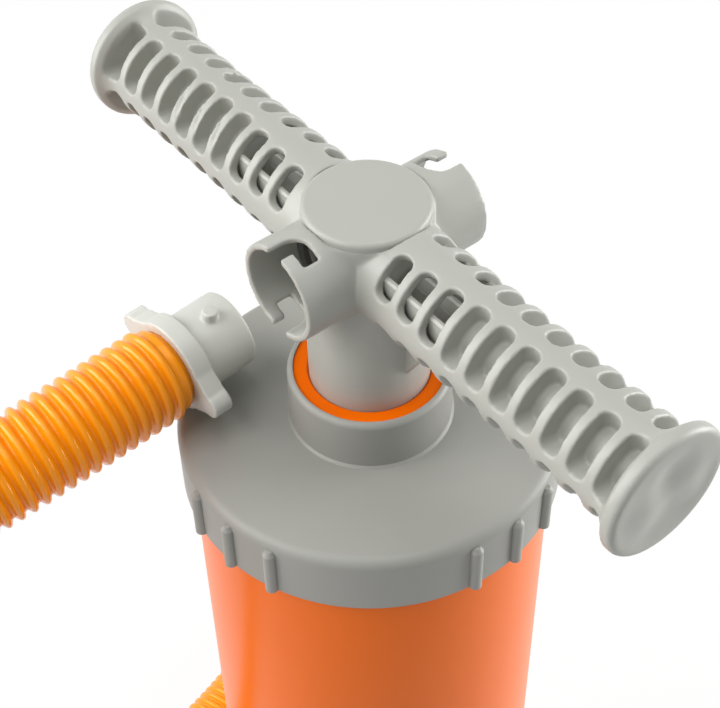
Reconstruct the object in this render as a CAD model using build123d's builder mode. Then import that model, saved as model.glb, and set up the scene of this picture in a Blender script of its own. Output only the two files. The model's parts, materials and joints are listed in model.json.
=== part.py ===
from build123d import *
import os
from math import cos, radians, sin, tan

# Double-action hand air pump: barrel on a foot plate, screw-down cap with a rod gland, a T handle with
# two lattice grips and two bayonet ports, a hollow rod with a valve piston, and a ribbed hose.
# Millimetres. +Z is up, the origin is the centre of the base on the floor, and -Y is the front.

# ---------------------------------------------------------------- fits
slide_fit = 0.05  # radial play of the rod in its gland and of the seal in the barrel
stem_fit = 0.08  # radial play of a valve stem in its hole
seat_fit = 0.1  # play between pieces that are assembled into one another
rest_gap = 0.3  # play between a moving piece and the piece that it stops against

# ---------------------------------------------------------------- foot plate
deck_height = 12.0
deck_wall = 3.0
foot_margin = 10.0  # the round foot reaches this far past the barrel
wing_reach = 37.0  # each wing reaches this far past the round foot
wing_width = 66.0
wing_blend = 12.0
deck_edge = 3.0
socket_height = 14.0
socket_wall = 3.0
rib_wall = 2.4
rib_lift = 1.0
rib_ring_radius = 30.0
tread_count = 5
tread_pitch = 6.5
tread_inset = 3.0
tread_length = 34.0
tread_width = 2.6
tread_height = 1.2

# ---------------------------------------------------------------- barrel
barrel_radius = 58.0
barrel_wall = 2.4
barrel_floor = 3.0
barrel_length = 328.0
neck_height = 15.0
neck_wall = 1.6
foot_round = 2.0
peg_radius = 4.2
peg_length = 7.0
peg_inset = 13.0  # from the barrel's side to the axis of a peg
peg_count = 4
base_screw_shank = 1.6
base_screw_head = 3.6
base_screw_head_height = 2.0
base_screw_length = 9.0

# ---------------------------------------------------------------- bayonet between barrel and cap
lug_count = 4
lug_half_angle = 11.0
lug_height = 3.0
lug_reach = 1.4
lug_drop = 9.0

# ---------------------------------------------------------------- cap
cap_wall = 2.1
cap_roof = 3.0
cap_skirt = 21.7
cap_edge = 3.5
cap_crown = 1.0
gland_wall = 4.9  # from the rod to the bore of the collar
collar_wall = 1.9
collar_height = 19.9
collar_foot = 0.8
rib_angles = (30.0, 45.0, 60.0)
rib_width = 4.0
rib_stand = 2.2
rib_top_drop = 2.6
gasket_height = 2.0
gasket_width = 3.0
gland_height = 13.6
gland_recess = 0.6

# ---------------------------------------------------------------- rod
rod_radius = 18.7
rod_wall = 2.7
rod_spigot_length = 25.0
rod_spigot_wall = 2.0
rod_seam_height = 8.0
air_tube_radius = 8.5
air_tube_wall = 1.5
air_washer_height = 1.5
rod_screw_shank = 1.4
rod_screw_head = 3.0
rod_screw_head_height = 1.8

# ---------------------------------------------------------------- piston, heights from its lower rim
piston_play = 0.7  # between the rigid piston and the barrel
piston_lift = 1.0
recess_depth = 5.0
web_thickness = 3.0
chamber_height = 12.0
seal_land = 7.9  # from the piston's rim to the chambers inside it
chamber_wall = 3.0
divider_wall = 3.0
boss_margin = 2.6
piston_socket_wall = 3.2
piston_socket_height = 14.0
bumper_height = 5.0
bumper_wall = 6.0
top_clearance = 0.5
screw_inset = 3.4
screw_boss_radius = 3.6
screw_count = 6
piston_screw_shank = 1.5
piston_screw_head = 3.2
piston_screw_head_height = 1.8
piston_screw_length = 12.0
seal_waist = 2.2
seal_lip = 3.2

# ---------------------------------------------------------------- valves
valve_margin = 2.85  # from a flap's edge to the walls beside it
valve_thickness = 1.5
valve_stem_radius = 2.0
valve_bulb_radius = 3.1
valve_bulb_height = 2.2
valve_travel = 1.5
valve_gap = 0.1
valve_port_count = 6

# ---------------------------------------------------------------- handle
handle_angle = -52.0  # turn of the right-hand grip from +X at rest
grip_height = 69.5  # grip and port axes above the cap's shoulder
grip_radius = 15.8
grip_half_length = 117.2
flare_length = 11.2
flare_rise = 4.1
flare_band = 2.0
flare_round = 1.8
hub_wall = 2.7
hub_rise = 0.3  # the lid's top above the top of the grips
lid_thickness = 2.6
lid_round = 1.6
lid_plug_height = 1.5
hub_floor_drop = 21.5  # underside of the hub's floor below the axes
hub_floor = 3.0
hub_side_wall = 4.5
partition_wall = 2.0
tube_lip_height = 4.0
tube_lip_wall = 2.0
fin_wall = 2.2
fin_foot_height = 31.5
fin_reach = 13.6

# ---------------------------------------------------------------- grip lattice
pocket_pitch = 9.4
pocket_gap = 5.5  # from the hub to the middle of the first ring of pockets
pocket_end_gap = 8.4  # from the middle of the last ring to the grip's end
pocket_width = 6.2
pocket_floor = 9.2
pocket_corner = 2.7
pocket_half_angles = (27.0, 29.0, 33.0, 36.5)  # of the first rings, and of all after them
pocket_rows = 4
cavity_radius = 12.6
cavity_gap = 1.8
cavity_rings = 3
cavity_margin = 1.1
cavity_web_top = 1.0

# ---------------------------------------------------------------- bayonet ports and hose connector
port_wall = 2.0
port_play = 0.15
port_depth = 18.5
port_ledge_width = 3.1
port_ledge_depth = 2.0
port_washer_height = 1.8
slot_width = 5.5
slot_inset = 7.0
slot_turn = 31.0
slot_turn_start = 9.0
spigot_radius = 12.95
spigot_wall = 2.4
spigot_length = 18.0
pin_radius = 2.5
pin_height = 3.5
pin_inset = 9.0
flange_margin = 2.55
flange_thickness = 6.6
ear_reach = 7.6
ear_width = 8.5
ear_root_width = 17.0
ear_blend = 5.0
barb_length = 14.0

# ---------------------------------------------------------------- hose
hose_bore_radius = 12.0
hose_wall = 1.5
hose_rib = 2.0
hose_pitch = 6.4
hose_crest = 2.8
hose_valley = 1.4
hose_cuff = 5.0
hose_first_run = 66.0
hose_rest = 0.1  # the hose's ribs above the floor
connector_turn = 41.8  # heading of the connector's open end, from +X
connector_dip = -1.3  # how far the connector's open end points below the level
connector_roll = 11.5  # turn of its pins and ears about its own axis
rim_x = -43.6
rim_y = 19.8
rim_lift = 4.2  # spigot's open end above the level of the cap's shoulder
nozzle_radii = (11.0, 8.5, 6.5)
nozzle_step = 13.0
nozzle_bore_radius = 4.5
nozzle_flange_margin = 3.0
nozzle_flange_thickness = 6.0

# ---------------------------------------------------------------- levels worked out from the above
foot_radius = barrel_radius + foot_margin
wing_span = 2 * (foot_radius + wing_reach)
tread_start = foot_radius + tread_inset
barrel_bore = barrel_radius - barrel_wall
neck_radius = barrel_bore + neck_wall
peg_circle_radius = barrel_radius - peg_inset
barrel_lug_radius = neck_radius + lug_reach
cap_lug_radius = neck_radius + rest_gap
cap_bore_radius = barrel_lug_radius + rest_gap
cap_radius = cap_bore_radius + cap_wall
collar_bore_radius = rod_radius + gland_wall
collar_radius = collar_bore_radius + collar_wall
piston_radius = barrel_bore - piston_play
chamber_radius = piston_radius - seal_land
boss_radius = rod_radius + boss_margin
screw_circle_radius = chamber_radius - screw_inset
valve_offset = (boss_radius + chamber_radius) / 2
valve_radius = (chamber_radius - boss_radius) / 2 - valve_margin
valve_port_circle_radius = 0.62 * valve_radius
valve_port_radius = 0.23 * valve_radius
barrel_top = deck_height + barrel_length
cap_top = barrel_top + gasket_height + cap_roof
cap_underside = cap_top - cap_roof
rod_bore = rod_radius - rod_wall
air_bore = air_tube_radius - air_tube_wall
rod_seam = cap_top + rod_seam_height
piston_bottom = deck_height + barrel_floor + piston_lift
web_top = recess_depth + web_thickness
plate_bottom = web_top + chamber_height
plate_top = plate_bottom + web_thickness
piston_socket_top = plate_top + piston_socket_height
bumper_top = piston_bottom + piston_socket_top + bumper_height
stroke = cap_underside - bumper_top - top_clearance
axis_height = cap_top + grip_height
hub_top = axis_height + grip_radius + hub_rise
lid_seat = hub_top - lid_thickness
hub_floor_bottom = axis_height - hub_floor_drop
hub_floor_top = hub_floor_bottom + hub_floor
gland_top = cap_top + collar_height - gland_recess
gland_bottom = gland_top - gland_height
hub_radius = rod_radius
hub_bore_radius = hub_radius - hub_wall
chamber_half_width = hub_bore_radius - hub_side_wall
flare_start = grip_half_length - flare_length
flare_radius = grip_radius + flare_rise
pocket_start = hub_radius + pocket_gap
pocket_count = 1 + int((grip_half_length - pocket_start - pocket_end_gap) / pocket_pitch + 0.01)
cavity_start = hub_radius + cavity_gap
cavity_end = pocket_start + (cavity_rings - 1) * pocket_pitch + pocket_width / 2 + cavity_margin
port_bore_radius = spigot_radius + port_play
port_radius = port_bore_radius + port_wall
port_throat_radius = port_bore_radius - port_ledge_width
port_ledge = chamber_half_width + port_ledge_depth
port_reach = port_ledge + port_depth
flange_radius = spigot_radius + flange_margin
ear_span = 2 * (flange_radius + ear_reach)
ear_root_level = (flange_radius**2 - ear_root_width**2 / 4) ** 0.5
rim_z = cap_top + spigot_radius + rim_lift
hose_root_radius = hose_bore_radius + hose_wall
hose_radius = hose_root_radius + hose_rib
nozzle_flange_radius = hose_bore_radius + nozzle_flange_margin

# ---------------------------------------------------------------- directions
up = Vector(0, 0, 1)
grip_way = Vector(cos(radians(handle_angle)), sin(radians(handle_angle)), 0)
port_way = Vector(-sin(radians(handle_angle)), cos(radians(handle_angle)), 0)
hub_centre = Vector(0, 0, axis_height)
grip_section = Plane(origin=hub_centre, x_dir=grip_way, z_dir=-port_way)
rod_section = Plane(origin=(0, 0, 0), x_dir=grip_way, z_dir=-port_way)
rod_frame = Plane(origin=(0, 0, 0), x_dir=grip_way, z_dir=up)
piston_frame = rod_frame.offset(piston_bottom)
port_frames = [Plane(origin=hub_centre, x_dir=up, z_dir=way) for way in (port_way, -port_way)]

os.makedirs("parts", exist_ok=True)


def ring(inner, outer, bottom, top):
    """A plain ring about the Z axis."""
    with BuildPart() as made:
        with BuildSketch(Plane.XY.offset(bottom)):
            Circle(outer)
            Circle(inner, mode=Mode.SUBTRACT)
        extrude(amount=top - bottom)
    return made


# ================================================================ foot plate
def foot_outline(inset):
    """Round foot with two rounded wings, drawn smaller by the inset."""
    with BuildSketch() as outline:
        Circle(foot_radius - inset)
        SlotOverall(wing_span - 2 * inset, wing_width - 2 * inset)
        corners = outline.vertices().filter_by(
            lambda v: abs(Vector(v.X, v.Y, 0).length - foot_radius + inset) < 0.01
        )
        fillet(corners, wing_blend + inset)
    return outline


with BuildPart() as base_plate:
    add(foot_outline(0).sketch)
    extrude(amount=deck_height)
    chamfer(base_plate.faces().sort_by(Axis.Z)[-1].edges(), deck_edge / 2)
    add(foot_outline(deck_wall).sketch)
    extrude(amount=deck_height - deck_wall, mode=Mode.SUBTRACT)
    # Stiffening ribs under the deck, lifted off the floor
    with BuildSketch(Plane.XY.offset(rib_lift)) as rib_plan:
        add(foot_outline(deck_wall / 2).sketch)
        with BuildSketch(mode=Mode.INTERSECT):
            Rectangle(wing_span, rib_wall)
            Rectangle(rib_wall, wing_span)
            Circle(rib_ring_radius + rib_wall / 2)
            Circle(rib_ring_radius - rib_wall / 2, mode=Mode.SUBTRACT)
            Rectangle(wing_span, rib_wall)
            Rectangle(rib_wall, wing_span)
            with Locations((tread_start, 0), (-tread_start, 0)):
                Rectangle(rib_wall, wing_width)
    extrude(amount=deck_height - deck_wall - rib_lift)
    # Screw bosses
    with BuildSketch(Plane.XY.offset(base_screw_head_height + rib_lift)):
        with PolarLocations(peg_circle_radius, peg_count, 45):
            Circle(peg_radius + rib_wall)
    extrude(amount=deck_height - base_screw_head_height - rib_lift)
    with BuildSketch(Plane.XY.offset(deck_height - peg_length)):
        with PolarLocations(peg_circle_radius, peg_count, 45):
            Circle(peg_radius + seat_fit)
    extrude(amount=peg_length, mode=Mode.SUBTRACT)
    with BuildSketch():
        with PolarLocations(peg_circle_radius, peg_count, 45):
            Circle(base_screw_shank + seat_fit)
    extrude(amount=deck_height, mode=Mode.SUBTRACT)
    # Socket that the barrel stands in
    with BuildSketch(Plane.XY.offset(deck_height - deck_wall)):
        Circle(barrel_radius + seat_fit + socket_wall)
        Circle(barrel_radius + seat_fit, mode=Mode.SUBTRACT)
    extrude(amount=socket_height + deck_wall)
    chamfer(base_plate.faces().sort_by(Axis.Z)[-1].edges(), socket_wall / 3)
    # Tread bars on the wings
    with BuildSketch(Plane.XY.offset(deck_height)):
        for side in (-1, 1):
            for bar in range(tread_count):
                with Locations((side * (tread_start + bar * tread_pitch), 0)):
                    Rectangle(tread_width, tread_length)
    extrude(amount=tread_height)
base_plate.part.label = "base_plate"
export_step(base_plate.part, "parts/base_plate.step")

with BuildPart() as base_screws:
    with BuildSketch(Plane.XY.offset(rib_lift)):
        with PolarLocations(peg_circle_radius, peg_count, 45):
            Circle(base_screw_head)
    extrude(amount=base_screw_head_height)
    with BuildSketch(Plane.XY.offset(rib_lift + base_screw_head_height)):
        with PolarLocations(peg_circle_radius, peg_count, 45):
            Circle(base_screw_shank)
    extrude(amount=base_screw_length)
base_screws.part.label = "base_screws"
export_step(base_screws.part, "parts/base_screws.step")

# ================================================================ barrel
barrel_inner_floor = deck_height + barrel_floor
neck_base = barrel_top - neck_height
barrel_lug_top = barrel_top - lug_drop + lug_height

with BuildPart() as barrel:
    with BuildSketch(Plane.XZ):
        with BuildLine():
            Polyline(
                (0, deck_height),
                (barrel_radius - foot_round, deck_height),
                (barrel_radius, deck_height + foot_round),
                (barrel_radius, neck_base),
                (neck_radius, neck_base + barrel_radius - neck_radius),
                (neck_radius, barrel_top),
                (barrel_bore, barrel_top),
                (barrel_bore, barrel_inner_floor),
                (0, barrel_inner_floor),
                close=True,
            )
        make_face()
    revolve(axis=Axis.Z)
    with BuildSketch(Plane.XY.offset(barrel_top - lug_drop)):
        Circle(barrel_lug_radius)
        Circle(neck_radius - neck_wall / 2, mode=Mode.SUBTRACT)
        with BuildSketch(mode=Mode.INTERSECT):
            with PolarLocations(0, lug_count):
                Polygon(
                    (0, 0),
                    (cap_radius, -cap_radius * tan(radians(lug_half_angle))),
                    (cap_radius, cap_radius * tan(radians(lug_half_angle))),
                    align=None,
                )
    extrude(amount=lug_height)
    with BuildSketch(Plane.XY.offset(deck_height - peg_length)):
        with PolarLocations(peg_circle_radius, peg_count, 45):
            Circle(peg_radius)
    extrude(amount=peg_length)
    with BuildSketch(Plane.XY.offset(deck_height - peg_length)):
        with PolarLocations(peg_circle_radius, peg_count, 45):
            Circle(base_screw_shank + slide_fit)
    extrude(amount=peg_length + barrel_floor / 3, mode=Mode.SUBTRACT)
barrel.part.label = "barrel"
export_step(barrel.part, "parts/barrel.step")

# ================================================================ cap, gasket, gland
skirt_bottom = cap_top - cap_skirt
rib_axis_radius = cap_radius + rib_stand - rib_width / 2
rib_height = cap_skirt - rib_top_drop - rib_width / 2
collar_top = cap_top + collar_height
collar_lip = collar_radius - collar_bore_radius

with BuildPart() as barrel_cap:
    with BuildSketch(Plane.XZ):
        with BuildLine():
            Line((cap_bore_radius, skirt_bottom), (cap_radius, skirt_bottom))
            Line((cap_radius, skirt_bottom), (cap_radius, cap_top - cap_edge))
            RadiusArc((cap_radius, cap_top - cap_edge), (cap_radius - cap_edge, cap_top), -cap_edge)
            Line((cap_radius - cap_edge, cap_top), (collar_radius + collar_foot, cap_top + cap_crown))
            Line(
                (collar_radius + collar_foot, cap_top + cap_crown),
                (collar_radius, cap_top + cap_crown + collar_foot),
            )
            Line((collar_radius, cap_top + cap_crown + collar_foot), (collar_radius, collar_top - collar_lip))
            RadiusArc((collar_radius, collar_top - collar_lip), (collar_bore_radius, collar_top), -collar_lip)
            Polyline(
                (collar_bore_radius, collar_top),
                (collar_bore_radius, cap_top),
                (rod_radius + rest_gap, cap_top),
                (rod_radius + rest_gap, cap_underside),
                (cap_bore_radius, cap_underside),
                (cap_bore_radius, skirt_bottom),
            )
        make_face()
    revolve(axis=Axis.Z)
    # Grip ribs with domed tops, in groups round the skirt
    for quarter in (-90, 90):
        for rib_angle in rib_angles:
            for hand in (-1, 1):
                with Locations(Rot(0, 0, quarter + hand * rib_angle) * Pos(rib_axis_radius, 0, skirt_bottom)):
                    Cylinder(rib_width / 2, rib_height, align=(Align.CENTER, Align.CENTER, Align.MIN))
                    with Locations((0, 0, rib_height)):
                        Cone(
                            rib_width / 2,
                            rib_width / 4,
                            rib_width / 3,
                            align=(Align.CENTER, Align.CENTER, Align.MIN),
                        )
    # Lugs that hook under the barrel's
    cap_lug_top = barrel_top - lug_drop - rest_gap
    with BuildSketch(Plane.XY.offset(cap_lug_top - lug_height)):
        Circle(cap_bore_radius + (cap_radius - cap_bore_radius) / 2)
        Circle(cap_lug_radius, mode=Mode.SUBTRACT)
        with BuildSketch(mode=Mode.INTERSECT):
            with PolarLocations(0, lug_count):
                Polygon(
                    (0, 0),
                    (cap_radius, -cap_radius * tan(radians(lug_half_angle))),
                    (cap_radius, cap_radius * tan(radians(lug_half_angle))),
                    align=None,
                )
    extrude(amount=lug_height)
barrel_cap.part.label = "barrel_cap"
export_step(barrel_cap.part, "parts/barrel_cap.step")

cap_gasket = ring(barrel_bore, barrel_bore + gasket_width, barrel_top, barrel_top + gasket_height)
cap_gasket.part.label = "cap_gasket"
export_step(cap_gasket.part, "parts/cap_gasket.step")

rod_sleeve_radius = rod_radius + slide_fit
with BuildPart() as rod_gland:
    with BuildSketch(Plane.XY.offset(gland_bottom)):
        Circle(collar_bore_radius - seat_fit)
        Circle(rod_sleeve_radius, mode=Mode.SUBTRACT)
    extrude(amount=gland_height)
    chamfer(rod_gland.faces().sort_by(Axis.Z)[-1].edges().sort_by(SortBy.RADIUS)[0], gland_recess)
rod_gland.part.label = "rod_gland"
export_step(rod_gland.part, "parts/rod_gland.step")

# Lip seal under the gland, open towards the pressure side
with BuildPart() as rod_seal:
    with BuildSketch(Plane.XZ):
        seal_mid = (rod_sleeve_radius + collar_bore_radius) / 2
        with BuildLine():
            Polyline(
                (rod_sleeve_radius, cap_top),
                (seal_mid - 0.8, cap_top),
                (seal_mid, cap_top + 2.6),
                (seal_mid + 0.8, cap_top),
                (collar_bore_radius - seat_fit, cap_top),
                (collar_bore_radius - seat_fit, gland_bottom),
                (rod_sleeve_radius, gland_bottom),
                close=True,
            )
        make_face()
    revolve(axis=Axis.Z)
rod_seal.part.label = "rod_seal"
export_step(rod_seal.part, "parts/rod_seal.step")

# ================================================================ rod
rod_bottom = piston_bottom + plate_bottom
rod_screw_level = piston_bottom + plate_top + piston_socket_height / 2
piston_socket_radius = rod_radius + seat_fit + piston_socket_wall

with BuildPart() as shaft_tube:
    with BuildSketch(rod_frame.offset(rod_bottom)):
        Circle(rod_radius)
    extrude(amount=rod_seam - rod_bottom)
    with BuildSketch(rod_frame.offset(rod_seam)):
        Circle(rod_bore - seat_fit)
    extrude(amount=rod_spigot_length)
    with BuildSketch(rod_frame.offset(rod_bottom)):
        Circle(rod_bore)
    extrude(amount=rod_seam - rod_bottom - rod_spigot_wall, mode=Mode.SUBTRACT)
    with BuildSketch(rod_frame.offset(rod_bottom)):
        Circle(rod_bore - seat_fit - rod_spigot_wall)
    extrude(amount=rod_seam + rod_spigot_length - rod_bottom, mode=Mode.SUBTRACT)
    # Holes for the two cross screws
    with BuildSketch(Plane(origin=(0, 0, rod_screw_level), x_dir=grip_way, z_dir=port_way)):
        Circle(rod_screw_shank + seat_fit)
    extrude(amount=rod_radius, both=True, mode=Mode.SUBTRACT)
shaft_tube.part.label = "shaft_tube"
export_step(shaft_tube.part, "parts/shaft_tube.step")

air_tube_bottom = rod_bottom - tube_lip_height + air_washer_height
air_tube_top = hub_floor_bottom + hub_floor / 3 - air_washer_height
with BuildPart() as air_tube:
    with BuildSketch(rod_frame.offset(air_tube_bottom)):
        Circle(air_tube_radius)
        Circle(air_bore, mode=Mode.SUBTRACT)
    extrude(amount=air_tube_top - air_tube_bottom)
air_tube.part.label = "air_tube"
export_step(air_tube.part, "parts/air_tube.step")

with BuildPart() as air_tube_seals:
    for washer_level in (air_tube_bottom - air_washer_height, air_tube_top):
        with BuildSketch(rod_frame.offset(washer_level)):
            Circle(air_tube_radius)
            Circle(air_bore, mode=Mode.SUBTRACT)
        extrude(amount=air_washer_height)
air_tube_seals.part.label = "air_tube_seals"
export_step(air_tube_seals.part, "parts/air_tube_seals.step")

with BuildPart() as rod_screws:
    for way in (port_way, -port_way):
        with BuildSketch(Plane(origin=Vector(0, 0, rod_screw_level), x_dir=grip_way, z_dir=way)
                         .offset(piston_socket_radius)):
            Circle(rod_screw_head)
        extrude(amount=rod_screw_head_height)
        with BuildSketch(Plane(origin=Vector(0, 0, rod_screw_level), x_dir=grip_way, z_dir=way)
                         .offset(rod_bore + rest_gap)):
            Circle(rod_screw_shank)
        extrude(amount=piston_socket_radius - rod_bore)
rod_screws.part.label = "rod_screws"
export_step(rod_screws.part, "parts/rod_screws.step")

# Buffer that meets the underside of the cap at full stroke
with BuildPart() as rod_bumper:
    with BuildSketch(piston_frame.offset(piston_socket_top)):
        Circle(rod_radius + bumper_wall)
        Circle(rod_radius + seat_fit, mode=Mode.SUBTRACT)
    extrude(amount=bumper_height)
    fillet(rod_bumper.faces().sort_by(Axis.Z)[-1].edges().sort_by(SortBy.RADIUS)[-1], bumper_wall / 4)
rod_bumper.part.label = "rod_bumper"
export_step(rod_bumper.part, "parts/rod_bumper.step")

# ================================================================ piston
valve_spots = (valve_offset, -valve_offset)
chamber_outer = chamber_radius + chamber_wall
rim_foot = 3.4


def valve_holes(level):
    """Stem hole and ring of air holes for both valves, on one level."""
    with BuildSketch(level) as holes:
        with Locations(*[(spot, 0) for spot in valve_spots]):
            Circle(valve_stem_radius + stem_fit)
            with PolarLocations(valve_port_circle_radius, valve_port_count):
                Circle(valve_port_radius)
    return holes


with BuildPart() as piston_base:
    with BuildSketch(Plane(origin=(0, 0, piston_bottom), x_dir=grip_way, z_dir=-port_way)):
        with BuildLine():
            Polyline(
                (0, recess_depth),
                (chamber_radius + rim_foot / 2, recess_depth),
                (chamber_radius + rim_foot, 0),
                (piston_radius - 1.5, 0),
                (piston_radius, 1.5),
                (piston_radius, web_top),
                (0, web_top),
                close=True,
            )
        make_face()
    revolve(axis=Axis.Z)
    add(valve_holes(piston_frame.offset(recess_depth)).sketch)
    extrude(amount=web_thickness, mode=Mode.SUBTRACT)
    with BuildSketch(piston_frame.offset(recess_depth)):
        with PolarLocations(screw_circle_radius, screw_count, 30):
            Circle(piston_screw_shank + seat_fit)
    extrude(amount=web_thickness, mode=Mode.SUBTRACT)
    # Ribs across the recess, between the two valves
    with BuildSketch(piston_frame.offset(recess_depth / 2)):
        for turn in (60, 120):
            Rectangle(2 * chamber_radius, rib_wall, rotation=turn)
        Circle(chamber_radius / 4)
    extrude(amount=recess_depth / 2)
piston_base.part.label = "piston_base"
export_step(piston_base.part, "parts/piston_base.step")

passage_height = chamber_height / 2
passage_width = 10.0
tube_pocket = air_tube_radius + seat_fit
ring_inner = tube_pocket + tube_lip_wall
ring_outer = rod_bore - seat_fit

with BuildPart() as piston_body:
    # Chamber walls, flange, top plate and rod socket
    with BuildSketch(Plane(origin=(0, 0, piston_bottom), x_dir=grip_way, z_dir=-port_way)):
        with BuildLine():
            Polyline(
                (chamber_radius, web_top),
                (chamber_outer, web_top),
                (chamber_outer, web_top + chamber_height / 2),
                (piston_radius, web_top + chamber_height / 2),
                (piston_radius, web_top + chamber_height / 2 + web_thickness),
                (chamber_outer, web_top + chamber_height / 2 + 1.6 * web_thickness),
                (chamber_outer, plate_top),
                (piston_socket_radius + 1, plate_top),
                (piston_socket_radius, plate_top + 1),
                (piston_socket_radius, piston_socket_top),
                (rod_radius + seat_fit, piston_socket_top),
                (rod_radius + seat_fit, plate_bottom),
                (chamber_radius, plate_bottom),
                close=True,
            )
        make_face()
    revolve(axis=Axis.Z)
    # Central boss, dividing walls and screw bosses
    with BuildSketch(piston_frame.offset(web_top)):
        Circle(boss_radius)
        Rectangle(divider_wall, 2 * chamber_radius + chamber_wall)
        with PolarLocations(screw_circle_radius, screw_count, 30):
            Circle(screw_boss_radius)
    extrude(amount=chamber_height)
    with BuildSketch(piston_frame.offset(web_top)):
        with PolarLocations(screw_circle_radius, screw_count, 30):
            Circle(piston_screw_shank + seat_fit)
    extrude(amount=piston_screw_length - web_thickness, mode=Mode.SUBTRACT)
    # Inner way: from the air tube to the chamber on the +X side
    with BuildSketch(piston_frame.offset(web_top + web_thickness)):
        Circle(air_bore)
        with Locations((boss_radius / 2, 0)):
            Rectangle(boss_radius + 1, passage_width)
    extrude(amount=chamber_height / 3, mode=Mode.SUBTRACT)
    with BuildSketch(piston_frame.offset(web_top + web_thickness)):
        Circle(air_bore)
    extrude(amount=chamber_height - web_thickness, mode=Mode.SUBTRACT)
    with BuildSketch(piston_frame.offset(plate_bottom - tube_lip_height)):
        Circle(tube_pocket)
    extrude(amount=tube_lip_height, mode=Mode.SUBTRACT)
    # Outer way: from the space round the air tube to the chamber on the other side
    with BuildSketch(piston_frame.offset(web_top + web_thickness)):
        Circle(ring_outer)
        Circle(ring_inner, mode=Mode.SUBTRACT)
        with Locations((0, 0)):
            Rectangle(rod_radius, 2 * rod_radius, align=(Align.MIN, Align.CENTER), mode=Mode.SUBTRACT)
    extrude(amount=chamber_height - web_thickness, mode=Mode.SUBTRACT)
    with BuildSketch(piston_frame.offset(web_top + web_thickness)):
        with Locations((-(boss_radius + ring_outer) / 2, 0)):
            Rectangle(boss_radius - ring_outer + 2, 2 * passage_width)
    extrude(amount=passage_height, mode=Mode.SUBTRACT)
    add(valve_holes(piston_frame.offset(plate_bottom)).sketch)
    extrude(amount=web_thickness, mode=Mode.SUBTRACT)
    # Holes for the two cross screws
    with BuildSketch(Plane(origin=(0, 0, rod_screw_level), x_dir=grip_way, z_dir=port_way)):
        Circle(rod_screw_shank + seat_fit)
    extrude(amount=piston_socket_radius + 1, both=True, mode=Mode.SUBTRACT)
piston_body.part.label = "piston_body"
export_step(piston_body.part, "parts/piston_body.step")

# Piston ring with a lip to each side
seal_bottom = web_top + rest_gap
seal_top = web_top + chamber_height / 2 - rest_gap
with BuildPart() as piston_seal:
    with BuildSketch(Plane(origin=(0, 0, piston_bottom), x_dir=grip_way, z_dir=-port_way)):
        with BuildLine():
            Polyline(
                (chamber_outer + rest_gap, seal_bottom),
                (barrel_bore - slide_fit - 0.8, seal_bottom),
                (barrel_bore - slide_fit, seal_bottom + 0.8),
                (barrel_bore - slide_fit, seal_top - 0.8),
                (barrel_bore - slide_fit - 0.8, seal_top),
                (chamber_outer + rest_gap, seal_top),
                close=True,
            )
        make_face()
    revolve(axis=Axis.Z)
piston_seal.part.label = "piston_seal"
export_step(piston_seal.part, "parts/piston_seal.step")

with BuildPart() as piston_screws:
    with BuildSketch(piston_frame.offset(recess_depth - piston_screw_head_height)):
        with PolarLocations(screw_circle_radius, screw_count, 30):
            Circle(piston_screw_head)
    extrude(amount=piston_screw_head_height)
    with BuildSketch(piston_frame.offset(recess_depth)):
        with PolarLocations(screw_circle_radius, screw_count, 30):
            Circle(piston_screw_shank)
    extrude(amount=piston_screw_length - 1)
piston_screws.part.label = "piston_screws"
export_step(piston_screws.part, "parts/piston_screws.step")


# ================================================================ valves
def flap_valve(spot, web_bottom, opens_up):
    """Rubber disc against one side of a web, held by a stem and a bulb on the other side."""
    web_end = web_bottom + web_thickness
    bulb_gap = valve_travel + 2 * valve_gap
    way = 1 if opens_up else -1
    seat_face = web_end if opens_up else web_bottom
    back_face = web_bottom if opens_up else web_end
    with BuildPart() as made:
        with BuildSketch(piston_frame.offset(seat_face + way * valve_gap)):
            with Locations((spot, 0)):
                Circle(valve_radius)
        extrude(amount=way * valve_thickness)
        with BuildSketch(piston_frame.offset(seat_face + way * valve_gap)):
            with Locations((spot, 0)):
                Circle(valve_stem_radius)
        extrude(amount=-way * (web_thickness + valve_gap + bulb_gap))
        with BuildSketch(piston_frame.offset(back_face - way * bulb_gap)):
            with Locations((spot, 0)):
                Circle(valve_bulb_radius)
        extrude(amount=-way * valve_bulb_height, taper=12)
    return made


inflate_valve_lower = flap_valve(valve_offset, recess_depth, True)
inflate_valve_lower.part.label = "inflate_valve_lower"
export_step(inflate_valve_lower.part, "parts/inflate_valve_lower.step")

inflate_valve_upper = flap_valve(valve_offset, plate_bottom, False)
inflate_valve_upper.part.label = "inflate_valve_upper"
export_step(inflate_valve_upper.part, "parts/inflate_valve_upper.step")

deflate_valve_lower = flap_valve(-valve_offset, recess_depth, False)
deflate_valve_lower.part.label = "deflate_valve_lower"
export_step(deflate_valve_lower.part, "parts/deflate_valve_lower.step")

deflate_valve_upper = flap_valve(-valve_offset, plate_bottom, True)
deflate_valve_upper.part.label = "deflate_valve_upper"
export_step(deflate_valve_upper.part, "parts/deflate_valve_upper.step")

# ================================================================ grips and hub
grip_axis = Axis(hub_centre, grip_way)
flare_top = grip_half_length - flare_round
band_start = flare_top - flare_band

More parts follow.
